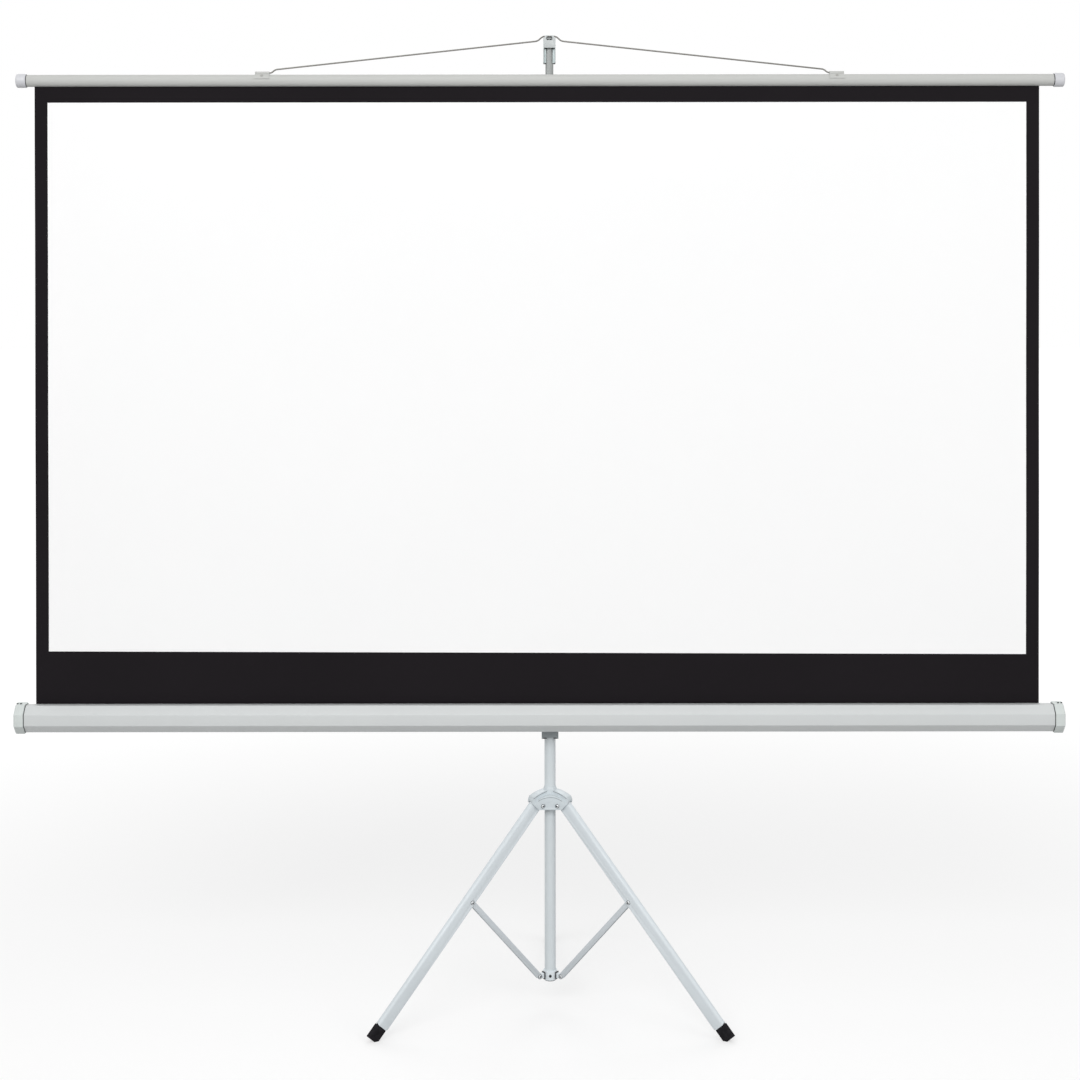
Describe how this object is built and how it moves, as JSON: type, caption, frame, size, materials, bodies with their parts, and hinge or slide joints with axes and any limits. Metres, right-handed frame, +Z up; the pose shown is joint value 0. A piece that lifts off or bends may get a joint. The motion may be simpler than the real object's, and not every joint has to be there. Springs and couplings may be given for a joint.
{
  "type": "tripod projector screen",
  "caption": "Free-standing projection screen: a white sheet pulled up from an octagonal roller case on a folding tripod mast, its top bar hung by a wire bail from a rod's hook.",
  "frame": {"origin": "middle of the bounding box on the floor, the feet's plane at zero", "axes": "+Z up, +X to the viewer's right along the case, -Y towards the viewer, the sheet's projection side"},
  "size_m": [2.364, 0.6954, 2.211],
  "materials": {
    "mast_paint": "satin grey paint",
    "leg_paint": "satin light grey paint",
    "case_paint": "satin silver grey paint",
    "carriage_paint": "satin dark grey paint",
    "clip_paint": "satin grey paint",
    "cap_plastic": "pale grey moulded plastic",
    "black_plastic": "black moulded plastic",
    "tube_metal": "satin bare metal",
    "wire_steel": "bright wire",
    "rivet_steel": "bright rivet",
    "roller_steel": "plain zinc coated",
    "foot_rubber": "black rubber",
    "sheet_fabric": "matt white coated fabric with a black border"
  },
  "bodies": {
    "mast": {"mast_tube": "mast_paint", "mast_bottom_plug": "black_plastic", "mast_collar": "mast_paint", "collar_screw": "rivet_steel", "mast_top_sleeve": "black_plastic", "collar_rivet_rear": "rivet_steel", "collar_rivet_left": "rivet_steel", "collar_rivet_right": "rivet_steel"},
    "rod_lock": {"rod_lock_button": "black_plastic"},
    "carriage": {"carriage_bracket": "carriage_paint", "carriage_slide_block": "black_plastic", "lock_lever_pin": "rivet_steel", "pivot_disc": "black_plastic", "case_saddle": "carriage_paint", "case_pivot_bolt": "rivet_steel", "case_pivot_nut": "rivet_steel", "case_housing": "case_paint", "case_end_cap_left": "cap_plastic", "case_end_cap_right": "cap_plastic", "spring_arbor": "roller_steel", "roller_spring": "roller_steel", "screen_sheet": "sheet_fabric"},
    "lock_lever": {"carriage_lock_lever": "black_plastic"},
    "roller": {"roller_tube": "roller_steel", "wound_sheet": "sheet_fabric", "roller_spring_plug": "black_plastic", "roller_idler_plug": "black_plastic"},
    "extension": {"extension_rod": "tube_metal", "rod_guide_plug": "black_plastic", "hook_clip": "clip_paint", "hook_clip_rivet": "rivet_steel", "top_tube": "tube_metal", "top_cap_left": "cap_plastic", "top_cap_right": "cap_plastic", "bail_bracket_left": "tube_metal", "bail_bracket_right": "tube_metal", "bail_screw_left": "wire_steel", "bail_screw_right": "wire_steel"},
    "bail": {"wire_bail": "wire_steel"},
    "brace_rear": {"brace_rear": "leg_paint"},
    "leg_rear": {"leg_rear": "leg_paint", "foot_rear": "foot_rubber", "leg_rivet_rear": "rivet_steel"},
    "hub": {"leg_hub": "leg_paint", "hub_rivet_rear": "rivet_steel", "hub_rivet_left": "rivet_steel", "hub_rivet_right": "rivet_steel"},
    "leg_left": {"leg_left": "leg_paint", "foot_left": "foot_rubber", "leg_rivet_left": "rivet_steel"},
    "leg_right": {"leg_right": "leg_paint", "foot_right": "foot_rubber", "leg_rivet_right": "rivet_steel"},
    "brace_left": {"brace_left": "leg_paint"},
    "brace_right": {"brace_right": "leg_paint"}
  },
  "joints": [
    {"name": "carriage_slide", "type": "slide", "parent": "mast", "child": "carriage", "axis": [0, 0, 1], "range_m": [0, 0.25]},
    {"name": "sheet_pull", "type": "slide", "parent": "carriage", "child": "extension", "axis": [0, 0, 1], "range_m": [-0.63, 0], "deforming": ["screen_sheet"]},
    {"name": "roller_spin", "type": "hinge", "parent": "carriage", "child": "roller", "pos_m": [-0.003, -0.16766, 0.66804], "axis": [1, 0, 0], "range_deg": [-1861, 0]},
    {"name": "bail_play", "type": "hinge", "parent": "extension", "child": "bail", "pos_m": [0.021, -0.15666, 2.12269], "axis": [1, 0, 0], "range_deg": [0, 1]},
    {"name": "rod_lock_pull", "type": "slide", "parent": "mast", "child": "rod_lock", "axis": [0, 1, 0], "range_m": [0, 0.004], "stiffness_N_per_m": 300},
    {"name": "lock_lever_turn", "type": "hinge", "parent": "carriage", "child": "lock_lever", "pos_m": [0.021, -0.09536, 0.71404], "axis": [-1, 0, 0], "range_deg": [0, 25], "stiffness_Nm_per_rad": 0.2},
    {"name": "tripod_fold", "type": "hinge", "parent": "mast", "child": "brace_rear", "pos_m": [0.021, -0.08306, 0.0695], "axis": [1, 0, 0], "range_deg": [0, 27]},
    {"name": "leg_rear_turn", "type": "hinge", "parent": "brace_rear", "child": "leg_rear", "pos_m": [0.021, 0.09149, 0.26542], "axis": [-1, 0, 0], "range_deg": [0, 54]},
    {"name": "hub_turn", "type": "hinge", "parent": "leg_rear", "child": "hub", "pos_m": [0.021, -0.08306, 0.46134], "axis": [1, 0, 0], "range_deg": [0, 27]},
    {"name": "leg_left_turn", "type": "hinge", "parent": "hub", "child": "leg_left", "pos_m": [-0.00498, -0.12806, 0.46134], "axis": [0.5, -0.866, 0], "range_deg": [0, 27]},
    {"name": "brace_left_turn", "type": "hinge", "parent": "leg_left", "child": "brace_left", "pos_m": [-0.15615, -0.21534, 0.26542], "axis": [-0.5, 0.866, 0], "range_deg": [0, 54]},
    {"name": "leg_right_turn", "type": "hinge", "parent": "hub", "child": "leg_right", "pos_m": [0.04698, -0.12806, 0.46134], "axis": [0.5, 0.866, 0], "range_deg": [0, 27]},
    {"name": "brace_right_turn", "type": "hinge", "parent": "leg_right", "child": "brace_right", "pos_m": [0.19815, -0.21534, 0.26542], "axis": [-0.5, -0.866, 0], "range_deg": [0, 54]}
  ],
  "couplings": [
    {"joint": "leg_rear_turn", "follows": "tripod_fold", "ratio": 2},
    {"joint": "hub_turn", "follows": "tripod_fold", "ratio": 1},
    {"joint": "leg_left_turn", "follows": "tripod_fold", "ratio": 1},
    {"joint": "brace_left_turn", "follows": "tripod_fold", "ratio": 2},
    {"joint": "leg_right_turn", "follows": "tripod_fold", "ratio": 1},
    {"joint": "brace_right_turn", "follows": "tripod_fold", "ratio": 2},
    {"joint": "roller_spin", "follows": "sheet_pull", "rad_per_m": 51.546}
  ]
}
